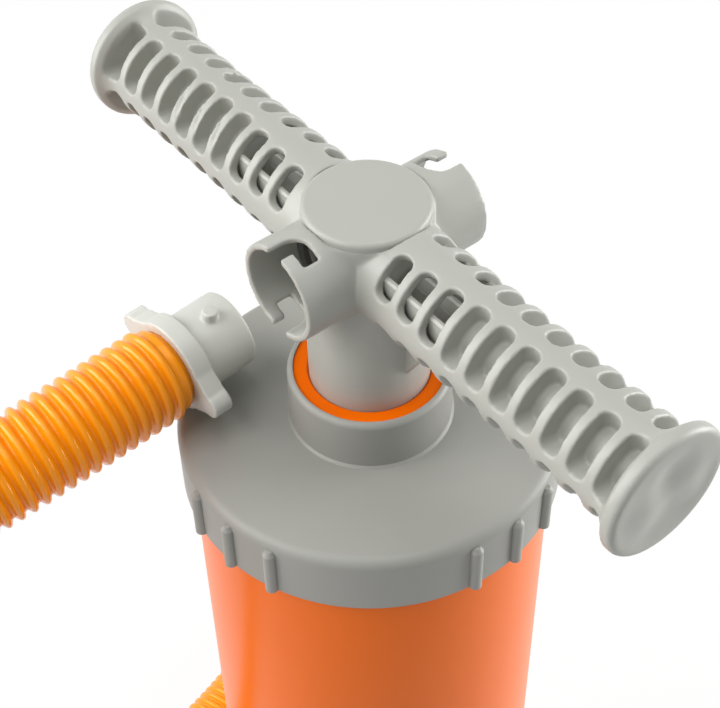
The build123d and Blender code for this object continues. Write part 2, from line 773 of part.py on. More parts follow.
# Lattice pockets of one grip: ten rings of four, each with round ends
with BuildPart() as pockets:
    for index in range(pocket_count):
        half_angle = pocket_half_angles[min(index, len(pocket_half_angles) - 1)]
        ring_start = pocket_start + index * pocket_pitch - pocket_width / 2
        ring_frame = Plane(
            origin=hub_centre + grip_way * ring_start, x_dir=port_way, z_dir=grip_way
        )
        with BuildSketch(ring_frame):
            Circle(flare_radius + 2)
            Circle(pocket_floor, mode=Mode.SUBTRACT)
            with BuildSketch(mode=Mode.INTERSECT):
                with PolarLocations(0, pocket_rows, 45):
                    Polygon(
                        (0, 0),
                        (2 * flare_radius, -2 * flare_radius * tan(radians(half_angle))),
                        (2 * flare_radius, 2 * flare_radius * tan(radians(half_angle))),
                        align=None,
                    )
        extrude(amount=pocket_width)
    radial_edges = pockets.edges().filter_by(GeomType.LINE)
    radial_edges = radial_edges.filter_by(lambda edge: abs((edge % 0.5).dot(grip_way)) < 0.5)
    fillet(radial_edges, pocket_corner)

with BuildPart() as handle:
    # One grip with its flared end, and the fin below its root
    with BuildSketch(grip_section):
        with BuildLine():
            Line((0, 0), (0, grip_radius))
            Line((0, grip_radius), (flare_start, grip_radius))
            ThreePointArc(
                (flare_start, grip_radius),
                (flare_start + 0.62 * (band_start - flare_start), grip_radius + 1.3),
                (band_start, flare_radius),
            )
            Line((band_start, flare_radius), (flare_top, flare_radius))
            RadiusArc((flare_top, flare_radius), (grip_half_length, flare_radius - flare_round), flare_round)
            Line((grip_half_length, flare_radius - flare_round), (grip_half_length, 0))
            Line((grip_half_length, 0), (0, 0))
        make_face()
    revolve(axis=grip_axis)
    with BuildSketch(Plane(origin=hub_centre + grip_way * cavity_start, x_dir=port_way, z_dir=grip_way)):
        Circle(cavity_radius)
    extrude(amount=cavity_end - cavity_start, mode=Mode.SUBTRACT)
    with BuildSketch(grip_section):
        with Locations((cavity_start - 1, -cavity_radius - 1)):
            Rectangle(
                cavity_end - cavity_start + 2,
                cavity_radius + 1 + cavity_web_top,
                align=(Align.MIN, Align.MIN),
            )
    extrude(amount=fin_wall / 2, both=True)
    add(pockets.part, mode=Mode.SUBTRACT)
    with BuildSketch(grip_section):
        fin_root = hub_bore_radius + 1
        grip_under = -grip_radius + 1
        Polygon(
            (fin_root, fin_foot_height - grip_height),
            (rod_radius, fin_foot_height - grip_height),
            (rod_radius + fin_reach, -grip_radius),
            (rod_radius + fin_reach, grip_under),
            (fin_root, grip_under),
            align=None,
        )
    extrude(amount=fin_wall / 2, both=True)
    mirror(about=Plane(origin=hub_centre, z_dir=grip_way))
    # Neck and hub
    with BuildSketch(rod_frame.offset(rod_seam)):
        Circle(hub_radius)
    extrude(amount=lid_seat - rod_seam)
    # Port tubes
    for port_frame in port_frames:
        with BuildSketch(port_frame):
            Circle(port_radius)
        extrude(amount=port_reach)
    # Neck bore, with a lip that holds the air tube
    with BuildSketch(rod_frame.offset(rod_seam)):
        Circle(hub_bore_radius)
    extrude(amount=hub_floor_bottom - rod_seam, mode=Mode.SUBTRACT)
    with BuildSketch(rod_frame.offset(hub_floor_bottom - tube_lip_height)):
        Circle(ring_inner)
    extrude(amount=tube_lip_height)
    with BuildSketch(rod_frame.offset(hub_floor_bottom - tube_lip_height)):
        Circle(tube_pocket)
    extrude(amount=tube_lip_height + hub_floor / 3, mode=Mode.SUBTRACT)
    # Two chambers side by side, and their openings through the floor
    with BuildSketch(rod_frame.offset(hub_floor_top)):
        Rectangle(2 * hub_bore_radius, 2 * chamber_half_width)
        Circle(hub_bore_radius, mode=Mode.INTERSECT)
        Rectangle(2 * hub_bore_radius, partition_wall, mode=Mode.SUBTRACT)
    extrude(amount=lid_seat - hub_floor_top, mode=Mode.SUBTRACT)
    with BuildSketch(rod_frame.offset(hub_floor_bottom)):
        Circle(air_bore)
        with Locations((0, partition_wall / 2)):
            Rectangle(4 * air_bore, 4 * air_bore, align=(Align.CENTER, Align.MIN), mode=Mode.INTERSECT)
    extrude(amount=hub_floor, mode=Mode.SUBTRACT)
    with BuildSketch(rod_frame.offset(hub_floor_bottom)):
        Rectangle(2 * hub_bore_radius, 2 * chamber_half_width)
        Circle(hub_bore_radius, mode=Mode.INTERSECT)
        Circle(ring_inner, mode=Mode.SUBTRACT)
        with Locations((0, -partition_wall / 2)):
            Rectangle(4 * air_bore, 4 * air_bore, align=(Align.CENTER, Align.MAX), mode=Mode.INTERSECT)
    extrude(amount=hub_floor, mode=Mode.SUBTRACT)
    # Seat of the lid
    with BuildSketch(rod_frame.offset(lid_seat)):
        Circle(hub_radius)
    extrude(amount=2 * grip_radius, mode=Mode.SUBTRACT)
    # Port bores with an inner ledge, and the two bayonet slots of each port
    for port_frame in port_frames:
        with BuildSketch(port_frame.offset(port_ledge)):
            Circle(port_bore_radius)
        extrude(amount=port_reach - port_ledge, mode=Mode.SUBTRACT)
        with BuildSketch(port_frame.offset(chamber_half_width - 1)):
            Circle(port_throat_radius)
        extrude(amount=port_ledge - chamber_half_width + 1, mode=Mode.SUBTRACT)
        with BuildSketch(port_frame.offset(port_reach - slot_inset - slot_width / 2)):
            Circle(port_radius + 1)
            Circle(port_bore_radius - 1, mode=Mode.SUBTRACT)
            with BuildSketch(mode=Mode.INTERSECT):
                for turn in (0, 180):
                    with Locations(Rot(0, 0, turn)):
                        Polygon(
                            (0, 0),
                            (2 * port_radius, -2 * port_radius * tan(radians(slot_turn_start))),
                            (2 * port_radius, -2 * port_radius * tan(radians(slot_turn))),
                            align=None,
                        )
        extrude(amount=slot_width, mode=Mode.SUBTRACT)
        for turn in (0, 180):
            slot_frame = port_frame * Pos(0, 0, port_reach - slot_inset)
            with BuildSketch(slot_frame * Rot(0, 0, turn - slot_turn) * Rot(0, 90, 0)):
                with Locations((0, 0, port_bore_radius - 1)):
                    Circle(slot_width / 2)
            extrude(amount=2 * (port_radius - port_bore_radius), mode=Mode.SUBTRACT)
            # Way in from the mouth, with a wide bend into the run that turns aside
            with BuildSketch(slot_frame * Rot(0, 0, turn) * Rot(0, 90, 0) * Pos(0, 0, port_bore_radius - 1)):
                with Locations((-slot_width / 2, -slot_width / 2)):
                    Circle(slot_width)
                    Rectangle(slot_width, slot_width, align=(Align.MIN, Align.MIN), mode=Mode.INTERSECT)
                with Locations((-slot_width / 2, 0)):
                    Rectangle(slot_inset, slot_width, align=(Align.MAX, Align.CENTER))
            extrude(amount=2 * (port_radius - port_bore_radius), mode=Mode.SUBTRACT)
handle.part.label = "handle"
export_step(handle.part, "parts/handle.step")

with BuildPart() as hub_lid:
    with BuildSketch(rod_frame.offset(lid_seat)):
        Circle(hub_radius - seat_fit)
    extrude(amount=lid_thickness)
    fillet(hub_lid.faces().sort_by(Axis.Z)[-1].edges(), lid_round)
    # Plugs that locate it in the two chambers
    with BuildSketch(rod_frame.offset(lid_seat - lid_plug_height)):
        Rectangle(2 * hub_bore_radius, 2 * chamber_half_width - 2 * seat_fit)
        Circle(hub_bore_radius - seat_fit, mode=Mode.INTERSECT)
        Rectangle(2 * hub_bore_radius, partition_wall + 2 * seat_fit, mode=Mode.SUBTRACT)
    extrude(amount=lid_plug_height)
hub_lid.part.label = "hub_lid"
export_step(hub_lid.part, "parts/hub_lid.step")


def port_washer(port_frame):
    """Rubber ring on the ledge of a port, where a connector's end presses."""
    with BuildPart() as made:
        with BuildSketch(port_frame.offset(port_ledge)):
            Circle(port_bore_radius - seat_fit)
            Circle(port_throat_radius, mode=Mode.SUBTRACT)
        extrude(amount=port_washer_height)
    return made


inflate_port_seal = port_washer(port_frames[0])
inflate_port_seal.part.label = "inflate_port_seal"
export_step(inflate_port_seal.part, "parts/inflate_port_seal.step")

deflate_port_seal = port_washer(port_frames[1])
deflate_port_seal.part.label = "deflate_port_seal"
export_step(deflate_port_seal.part, "parts/deflate_port_seal.step")

# ================================================================ hose connector, lying on the cap
heading = radians(connector_turn)
dip = radians(connector_dip)
rim_way = Vector(cos(heading) * cos(dip), sin(heading) * cos(dip), -sin(dip))
connector_up = Vector(cos(heading) * sin(dip), sin(heading) * sin(dip), cos(dip))
rim_centre = Vector(rim_x, rim_y, rim_z)
roll = radians(connector_roll)
pin_way = connector_up * cos(roll) + rim_way.cross(connector_up) * sin(roll)
connector_frame = Plane(origin=rim_centre, x_dir=pin_way, z_dir=-rim_way)
connector_length = spigot_length + flange_thickness

with BuildPart() as hose_connector:
    with BuildSketch(connector_frame):
        Circle(spigot_radius)
    extrude(amount=spigot_length)
    chamfer(hose_connector.edges().sort_by(Axis(rim_centre, -rim_way))[0], spigot_wall / 3)
    with BuildSketch(connector_frame.offset(spigot_length)) as flange_sketch:
        Circle(flange_radius)
        SlotOverall(ear_span, ear_width, rotation=90)
        for hand in (-1, 1):
            Polygon(
                (-ear_width / 2, hand * (ear_span - ear_width) / 2),
                (ear_width / 2, hand * (ear_span - ear_width) / 2),
                (ear_root_width / 2, hand * ear_root_level),
                (-ear_root_width / 2, hand * ear_root_level),
                align=None,
            )
        ear_roots = flange_sketch.vertices().filter_by(
            lambda v: abs(abs(v.X) - ear_root_width / 2) < 0.01
        )
        fillet(ear_roots, ear_blend)
    extrude(amount=flange_thickness)
    with BuildSketch(connector_frame.offset(connector_length)):
        Circle(hose_bore_radius - seat_fit)
    extrude(amount=barb_length)
    chamfer(hose_connector.edges().sort_by(Axis(rim_centre, -rim_way))[-1], spigot_wall / 3)
    # Bayonet pins above and below
    with BuildSketch(connector_frame * Pos(0, 0, spigot_length - pin_inset) * Rot(0, 90, 0)):
        Circle(pin_radius)
    extrude(amount=spigot_radius + pin_height, both=True)
    with BuildSketch(connector_frame):
        Circle(spigot_radius - spigot_wall)
    extrude(amount=connector_length + barb_length, mode=Mode.SUBTRACT)
hose_connector.part.label = "hose_connector"
export_step(hose_connector.part, "parts/hose_connector.step")

# ================================================================ hose
hose_start = rim_centre - rim_way * connector_length
hose_points = [
    hose_start,
    hose_start - rim_way * hose_first_run,
    Vector(-180, -66, cap_top - 10),
    Vector(-240, -102, cap_top - 77),
    Vector(-280, -116, 188),
    Vector(-286, -100, 106),
    Vector(-258, -60, 42),
    Vector(-210, -17, hose_radius + hose_rest),
    Vector(-140, 30, hose_radius + hose_rest),
    Vector(-74, 82, hose_radius + hose_rest),
    Vector(-34, 155, hose_radius + hose_rest),
]
bend_share = 0.45  # part of the shorter neighbouring run that each bend takes up


def bend_radius(before, corner, after):
    """Radius of the arc that rounds one corner of the hose's path."""
    run_in = corner - before
    run_out = after - corner
    turn_angle = radians(run_in.get_angle(run_out))
    return bend_share * min(run_in.length, run_out.length) / tan(turn_angle / 2)


hose_radii = [
    bend_radius(hose_points[i - 1], hose_points[i], hose_points[i + 1])
    for i in range(1, len(hose_points) - 1)
]
print("hose bend radii", [round(radius, 1) for radius in hose_radii])

with BuildLine() as hose_path:
    FilletPolyline(*hose_points, radius=hose_radii)
hose_wire = hose_path.wires()[0]
hose_length = hose_wire.length
print("hose length", round(hose_length, 1))

# Ribs: outer radius at stations along the path, a plain cuff at each end
rib_count = int((hose_length - 2 * hose_cuff) / hose_pitch)
rib_start = (hose_length - rib_count * hose_pitch) / 2
stations = [(0, hose_root_radius)]
for rib_index in range(rib_count):
    foot = rib_start + rib_index * hose_pitch
    slope = (hose_pitch - hose_crest - hose_valley) / 2
    stations.append((foot + hose_valley / 2, hose_root_radius))
    stations.append((foot + hose_valley / 2 + slope, hose_radius))
    stations.append((foot + hose_valley / 2 + slope + hose_crest, hose_radius))
    stations.append((foot + hose_pitch - hose_valley / 2, hose_root_radius))
stations.append((hose_length, hose_root_radius))
print("hose ribs", rib_count)


def hose_section(distance, radius):
    """Circle square to the path, with its X axis kept steady from one station to the next."""
    along = hose_wire.tangent_at(distance / hose_length)
    steady = Vector(0.6, -0.8, 0)
    side = steady - along * steady.dot(along)
    plane = Plane(origin=hose_wire.position_at(distance / hose_length), x_dir=side, z_dir=along)
    with BuildSketch(plane) as section:
        Circle(radius)
    return section.sketch


with BuildPart() as hose:
    loft([hose_section(distance, radius) for distance, radius in stations], ruled=True)
    with BuildSketch(Plane(origin=hose_start, x_dir=connector_up, z_dir=-rim_way)):
        Circle(hose_bore_radius)
    sweep(path=hose_wire, mode=Mode.SUBTRACT)
hose.part.label = "hose"
export_step(hose.part, "parts/hose.step")

# ================================================================ nozzle on the hose's far end
nozzle_way = hose_wire.tangent_at(1)
nozzle_frame = Plane(origin=hose_points[-1], x_dir=up, z_dir=nozzle_way)
with BuildPart() as hose_nozzle:
    with BuildSketch(nozzle_frame):
        Circle(nozzle_flange_radius)
    extrude(amount=nozzle_flange_thickness)
    for index, step_radius in enumerate(nozzle_radii):
        with BuildSketch(nozzle_frame.offset(nozzle_flange_thickness + index * nozzle_step)):
            Circle(step_radius)
        extrude(amount=nozzle_step)
    with BuildSketch(nozzle_frame):
        Circle(hose_bore_radius - seat_fit)
    extrude(amount=-barb_length)
    with BuildSketch(nozzle_frame.offset(-barb_length)):
        Circle(nozzle_bore_radius)
    extrude(amount=barb_length + nozzle_flange_thickness + 3 * nozzle_step, mode=Mode.SUBTRACT)
hose_nozzle.part.label = "hose_nozzle"
export_step(hose_nozzle.part, "parts/hose_nozzle.step")
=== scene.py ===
import json
import math

import bmesh
import bpy
from mathutils import Matrix, Vector


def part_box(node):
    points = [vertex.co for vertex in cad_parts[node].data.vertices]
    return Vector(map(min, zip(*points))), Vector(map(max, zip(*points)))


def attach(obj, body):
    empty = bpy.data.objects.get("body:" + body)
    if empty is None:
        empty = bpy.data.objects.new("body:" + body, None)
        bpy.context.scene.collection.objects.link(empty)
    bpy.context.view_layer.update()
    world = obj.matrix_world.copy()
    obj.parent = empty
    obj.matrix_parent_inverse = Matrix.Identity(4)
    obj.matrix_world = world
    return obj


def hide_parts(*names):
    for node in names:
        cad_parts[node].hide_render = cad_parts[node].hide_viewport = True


MM = 0.001
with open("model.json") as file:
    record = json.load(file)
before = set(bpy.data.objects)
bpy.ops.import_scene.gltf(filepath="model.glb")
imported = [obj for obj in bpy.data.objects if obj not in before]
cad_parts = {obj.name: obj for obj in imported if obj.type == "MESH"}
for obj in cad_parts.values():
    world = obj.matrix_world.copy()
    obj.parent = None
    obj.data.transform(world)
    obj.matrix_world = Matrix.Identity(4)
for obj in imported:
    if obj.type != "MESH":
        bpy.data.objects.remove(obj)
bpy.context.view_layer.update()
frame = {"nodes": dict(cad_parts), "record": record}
nodes = frame["nodes"]

# ---------------------------------------------------------------- places taken from the frame
COLLAR_HEIGHT = 19.9 * MM
CAP_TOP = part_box("barrel_cap")[1][2] - COLLAR_HEIGHT
HANDLE_ANGLE = math.radians(-52.0)
GRIP_WAY = Vector((math.cos(HANDLE_ANGLE), math.sin(HANDLE_ANGLE), 0))
PORT_WAY = Vector((-math.sin(HANDLE_ANGLE), math.cos(HANDLE_ANGLE), 0))
UP = Vector((0, 0, 1))

# ================================================================ camera
CAMERA_LENS = 79.77
CAMERA_PLACE = Vector((0.0, -0.33409, CAP_TOP + 0.37477))
CAMERA_RIGHT = Vector((0.99983, -0.00852, -0.01634))
CAMERA_FORWARD = Vector((-0.00595, 0.68995, -0.72383))


def make_camera():
    data = bpy.data.cameras.new("camera")
    data.sensor_fit = "HORIZONTAL"
    data.sensor_width = 36.0
    data.lens = CAMERA_LENS
    data.clip_start = 0.01
    data.clip_end = 20.0
    camera = bpy.data.objects.new("camera", data)
    right = CAMERA_RIGHT.normalized()
    forward = CAMERA_FORWARD.normalized()
    up = right.cross(forward).normalized()
    turn = Matrix((right, up, -forward)).transposed().to_4x4()
    camera.matrix_world = Matrix.Translation(CAMERA_PLACE) @ turn
    bpy.context.collection.objects.link(camera)
    bpy.context.scene.camera = camera


make_camera()

# ================================================================ hose
RIM_CENTRE = Vector((-43.6, 19.8, 362.15)) * MM
RIM_TO_HOSE = 24.6 * MM
CONNECTOR_TURN = math.radians(41.8)
CONNECTOR_DIP = math.radians(-1.3)
RIM_WAY = Vector((
    math.cos(CONNECTOR_TURN) * math.cos(CONNECTOR_DIP),
    math.sin(CONNECTOR_TURN) * math.cos(CONNECTOR_DIP),
    -math.sin(CONNECTOR_DIP),
))
HOSE_START = RIM_CENTRE - RIM_WAY * RIM_TO_HOSE
FIRST_RUN = 66.0 * MM
HOSE_POINTS = [
    HOSE_START,
    HOSE_START - RIM_WAY * FIRST_RUN,
    Vector((-180, -66, 335)) * MM,
    Vector((-240, -102, 268)) * MM,
    Vector((-280, -116, 188)) * MM,
    Vector((-286, -100, 106)) * MM,
    Vector((-258, -60, 42)) * MM,
    Vector((-210, -17, 15.6)) * MM,
    Vector((-140, 30, 15.6)) * MM,
    Vector((-74, 82, 15.6)) * MM,
    Vector((-34, 155, 15.6)) * MM,
]
HOSE_RADIUS = 15.5 * MM
HOSE_ROOT = 13.6 * MM
HOSE_BORE = 12.0 * MM
HOSE_PITCH = 4.3 * MM
HOSE_CUFF = 2.6 * MM
HOSE_SIDES = 48
BORE_STEPS = 60
STEADY_SIDE = Vector((0.6, -0.8, 0.0))

# The plain cuff under the flange: distance from the start, height over the valleys
CUFF_STEPS = [(0.0, -1.0 * MM), (1.2 * MM, -1.0 * MM), (1.5 * MM, 0.1 * MM), (2.0 * MM, 0.4 * MM)]
CUFF_RISE = 0.4 * MM
CUFF_SLOPE = 0.9 * MM

# One rib, from valley to valley: share of the pitch, share of the depth
RIB_PROFILE = [
    (0.0, 0.0),
    (0.09, 0.06),
    (0.18, 0.36),
    (0.28, 0.74),
    (0.39, 0.94),
    (0.50, 1.0),
    (0.61, 0.94),
    (0.72, 0.74),
    (0.82, 0.36),
    (0.91, 0.06),
]


def nurbs_line(points):
    """Points along the smooth NURBS line that the route's points control."""
    curve = bpy.data.curves.new("route", "CURVE")
    curve.dimensions = "3D"
    spline = curve.splines.new("NURBS")
    spline.points.add(len(points) - 1)
    for spot, point in zip(spline.points, points):
        spot.co = (*point, 1.0)
    spline.order_u = 3
    spline.use_endpoint_u = True
    spline.resolution_u = 48
    holder = bpy.data.objects.new("route", curve)
    mesh = bpy.data.meshes.new_from_object(holder)
    line = [v.co.copy() for v in mesh.vertices]
    bpy.data.meshes.remove(mesh)
    bpy.data.objects.remove(holder)
    bpy.data.curves.remove(curve)
    if (line[0] - points[0]).length > (line[-1] - points[0]).length:
        line.reverse()
    return line


def along(line):
    """Distances of a line's points from its start."""
    reach = [0.0]
    for before, after in zip(line, line[1:]):
        reach.append(reach[-1] + (after - before).length)
    return reach


class Track:
    """Place and steady frame at any distance along a line."""

    def __init__(self, line, steady):
        self.line = line
        self.reach = along(line)
        self.length = self.reach[-1]
        self.frames = []
        side = steady
        for index in range(len(line)):
            ahead = line[min(index + 1, len(line) - 1)]
            behind = line[max(index - 1, 0)]
            way = (ahead - behind).normalized()
            side = (side - way * side.dot(way)).normalized()
            self.frames.append((way, side))
        self.at = 0

    def place(self, distance):
        if distance < self.reach[self.at]:
            self.at = 0
        while self.at < len(self.line) - 2 and self.reach[self.at + 1] < distance:
            self.at += 1
        low, high = self.reach[self.at], self.reach[self.at + 1]
        share = (distance - low) / (high - low)
        point = self.line[self.at].lerp(self.line[self.at + 1], share)
        side = self.frames[self.at][1].lerp(self.frames[self.at + 1][1], share)
        way = self.frames[self.at][0].lerp(self.frames[self.at + 1][0], share).normalized()
        side = (side - way * side.dot(way)).normalized()
        return point, side, way.cross(side)


def ring_of(mesh, track, distance, radius):
    """A ring of the hose's vertices, square to its line."""
    spot, side, other = track.place(distance)
    ring = []
    for k in range(HOSE_SIDES):
        angle = 2 * math.pi * k / HOSE_SIDES
        across, upward = radius * math.cos(angle), radius * math.sin(angle)
        ring.append(mesh.verts.new(spot + side * across + other * upward))
    return ring


def bridge(mesh, ring_a, ring_b):
    """The band of faces between two rings."""
    count = len(ring_a)
    for k in range(count):
        after = (k + 1) % count
        mesh.faces.new((ring_a[k], ring_a[after], ring_b[after], ring_b[k]))


def mesh_object(name, mesh, smooth=True):
    data = bpy.data.meshes.new(name)
    bmesh.ops.recalc_face_normals(mesh, faces=mesh.faces)
    mesh.to_mesh(data)
    mesh.free()
    for face in data.polygons:
        face.use_smooth = smooth
    made = bpy.data.objects.new(name, data)
    bpy.context.collection.objects.link(made)
    return made


def hose_stations(length):
    """Distance and radius of each ring outside: a cuff, the ribs, and a short plain end."""
    rib_count = int((length - 2 * HOSE_CUFF) / HOSE_PITCH)
    first = (length - rib_count * HOSE_PITCH) / 2
    last = first + rib_count * HOSE_PITCH
    stations = [(distance, HOSE_ROOT + rise) for distance, rise in CUFF_STEPS]
    stations.append((first - CUFF_SLOPE, HOSE_ROOT + CUFF_RISE))
    for rib in range(rib_count):
        for share, depth in RIB_PROFILE:
            radius = HOSE_ROOT + (HOSE_RADIUS - HOSE_ROOT) * depth
            stations.append((first + (rib + share) * HOSE_PITCH, radius))
    stations.append((last, HOSE_ROOT))
    stations.append((last + CUFF_SLOPE, HOSE_ROOT + CUFF_RISE))
    stations.append((length, HOSE_ROOT + CUFF_RISE))
    return stations


def make_hose():
    line = nurbs_line(HOSE_POINTS)
    track = Track(line, STEADY_SIDE)
    mesh = bmesh.new()
    outer = [ring_of(mesh, track, at, radius) for at, radius in hose_stations(track.length)]
    inner = [
        ring_of(mesh, track, track.length * step / BORE_STEPS, HOSE_BORE)
        for step in range(BORE_STEPS + 1)
    ]
    for before, after in zip(outer, outer[1:]):
        bridge(mesh, before, after)
    for before, after in zip(inner, inner[1:]):
        bridge(mesh, after, before)
    bridge(mesh, inner[0], outer[0])
    bridge(mesh, outer[-1], inner[-1])
    hose = mesh_object("ribbed_hose", mesh)
    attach(hose, "stand")
    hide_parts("hose")
    return hose


hose = make_hose()

# ================================================================ materials
MOTTLE_SCALE = 22.0
MOTTLE_DETAIL = 3.0
GRAIN_DEPTH = 0.00015
COAT_ROUGHNESS = 0.15
METAL_GRAIN = 900.0
METAL_SPREAD = 0.08
WHITE = (1.0, 1.0, 1.0, 1.0)
WARM = (1.0, 0.30, 0.03, 1.0)
GOLDEN = (1.0, 0.6, 0.3, 1.0)


def srgb(red, green, blue):
    """A colour given in 0..255 display values, as linear RGBA."""
    def one(value):
        value /= 255.0
        return value / 12.92 if value <= 0.04045 else ((value + 0.055) / 1.055) ** 2.4
    return (one(red), one(green), one(blue), 1.0)


def wire(tree, kind, *values, operation=None):
    """A node whose inputs, in their order, take sockets or plain values."""
    node = tree.nodes.new(kind)
    if operation:
        node.operation = operation
    for socket, value in zip(node.inputs, values):
        if isinstance(value, bpy.types.NodeSocket):
            tree.links.new(value, socket)
        else:
            socket.default_value = value
    return node


def maths(tree, operation, *values):
    return wire(tree, "ShaderNodeMath", *values, operation=operation).outputs["Value"]


def noise(tree, place, scale, detail):
    node = tree.nodes.new("ShaderNodeTexNoise")
    node.inputs["Scale"].default_value = scale
    node.inputs["Detail"].default_value = detail
    tree.links.new(place, node.inputs["Vector"])
    return node.outputs["Fac"]


def new_material(name):
    material = bpy.data.materials.new(name)
    material.use_nodes = True
    tree = material.node_tree
    return material, tree, tree.nodes["Principled BSDF"]


def uneven_roughness(tree, shader, pattern, middle, spread):
    """Roughness that follows a pattern to both sides of its middle value."""
    scaled = tree.nodes.new("ShaderNodeMapRange")
    scaled.inputs["To Min"].default_value = middle - spread
    scaled.inputs["To Max"].default_value = middle + spread
    tree.links.new(pattern, scaled.inputs["Value"])
    tree.links.new(scaled.outputs["Result"], shader.inputs["Roughness"])


def plastic(
    name, base, other, roughness, grain, bump,
    coat=0.0, shine=0.5, tint=WHITE, spread=0.05, detail=4.0,
):
    """Moulded plastic: faint mottling of the colour and a fine moulded grain."""
    material, tree, shader = new_material(name)
    place = tree.nodes.new("ShaderNodeTexCoord").outputs["Object"]
    mix = tree.nodes.new("ShaderNodeMix")
    mix.data_type = "RGBA"
    mix.inputs[6].default_value = base
    mix.inputs[7].default_value = other
    tree.links.new(noise(tree, place, MOTTLE_SCALE, MOTTLE_DETAIL), mix.inputs[0])
    tree.links.new(mix.outputs[2], shader.inputs["Base Color"])
    fine = noise(tree, place, grain, detail)
    uneven_roughness(tree, shader, fine, roughness, spread)
    relief = tree.nodes.new("ShaderNodeBump")
    relief.inputs["Strength"].default_value = bump
    relief.inputs["Distance"].default_value = GRAIN_DEPTH
    tree.links.new(fine, relief.inputs["Height"])
    tree.links.new(relief.outputs["Normal"], shader.inputs["Normal"])
    shader.inputs["Coat Weight"].default_value = coat
    shader.inputs["Coat Roughness"].default_value = COAT_ROUGHNESS
    shader.inputs["Specular IOR Level"].default_value = shine
    shader.inputs["Specular Tint"].default_value = tint
    return material


def metal(name, base, roughness):
    material, tree, shader = new_material(name)
    shader.inputs["Base Color"].default_value = base
    shader.inputs["Metallic"].default_value = 1.0
    place = tree.nodes.new("ShaderNodeTexCoord").outputs["Object"]
    fine = noise(tree, place, METAL_GRAIN, 2.0)
    uneven_roughness(tree, shader, fine, roughness, METAL_SPREAD)
    return material


handle_grey = plastic("handle_grey", srgb(173, 174, 167), srgb(167, 168, 160), 0.40, 1500, 0.10)
cap_grey = plastic("cap_grey", srgb(157, 157, 151), srgb(151, 151, 145), 0.46, 1800, 0.14)
foot_grey = plastic("foot_grey", srgb(166, 167, 160), srgb(159, 160, 153), 0.50, 1500, 0.18)
connector_grey = plastic(
    "connector_grey", srgb(204, 205, 198), srgb(198, 199, 192), 0.42, 1500, 0.10
)
# The barrel is smooth: no bump, and its roughness stays where the denoiser leaves no marks
barrel_orange = plastic(
    "barrel_orange", srgb(250, 115, 3), srgb(248, 112, 2), 0.29, 60, 0.0,
    shine=0.25, tint=WARM, spread=0.01, detail=0.0,
)
gland_orange = plastic(
    "gland_orange", srgb(246, 110, 1), srgb(242, 102, 1), 0.40, 1200, 0.06, shine=0.3, tint=WARM
)
hose_orange = plastic(
    "hose_orange", srgb(255, 158, 4), srgb(253, 148, 4), 0.20, 700, 0.04,
    coat=0.2, shine=0.55, tint=GOLDEN,
)
rubber_black = plastic("rubber_black", srgb(92, 92, 90), srgb(84, 84, 82), 0.60, 1600, 0.20)
screw_steel = metal("screw_steel", srgb(190, 190, 192), 0.35)

BY_SLOT = {
    "warm_grey_moulding": handle_grey,
    "cap_grey_moulding": cap_grey,
    "orange_barrel": barrel_orange,
    "orange_gland": gland_orange,
    "orange_hose": hose_orange,
    "connector_grey": connector_grey,
    "foot_grey": foot_grey,
    "dark_rubber": rubber_black,
    "screw_steel": screw_steel,
}
for subpart in frame["record"]["subparts"]:
    node = nodes[subpart["node"]]
    node.data.materials.clear()
    node.data.materials.append(BY_SLOT[subpart["material_slot"]])
hose.data.materials.append(hose_orange)

# ================================================================ moulded shapes
GRIP_AXIS_HEIGHT = 69.5 * MM
GRIP_HALF_LENGTH = 117.2 * MM
FLARE_RADIUS = 19.9 * MM
GRIP_CENTRE = Vector((0, 0, CAP_TOP + GRIP_AXIS_HEIGHT))

# The hollowed ends: where a face counts as an end, and the soft dents in it
DISH_FACE = GRIP_HALF_LENGTH - 1.2 * MM
DISH_RADIUS = FLARE_RADIUS - 2.6 * MM
DISH_DEPTH = 1.1 * MM
END_FACING = 0.6
DENT_SCALE = 78.0
DENT_GAIN = 3.2
DENT_SHIFT = 2.1


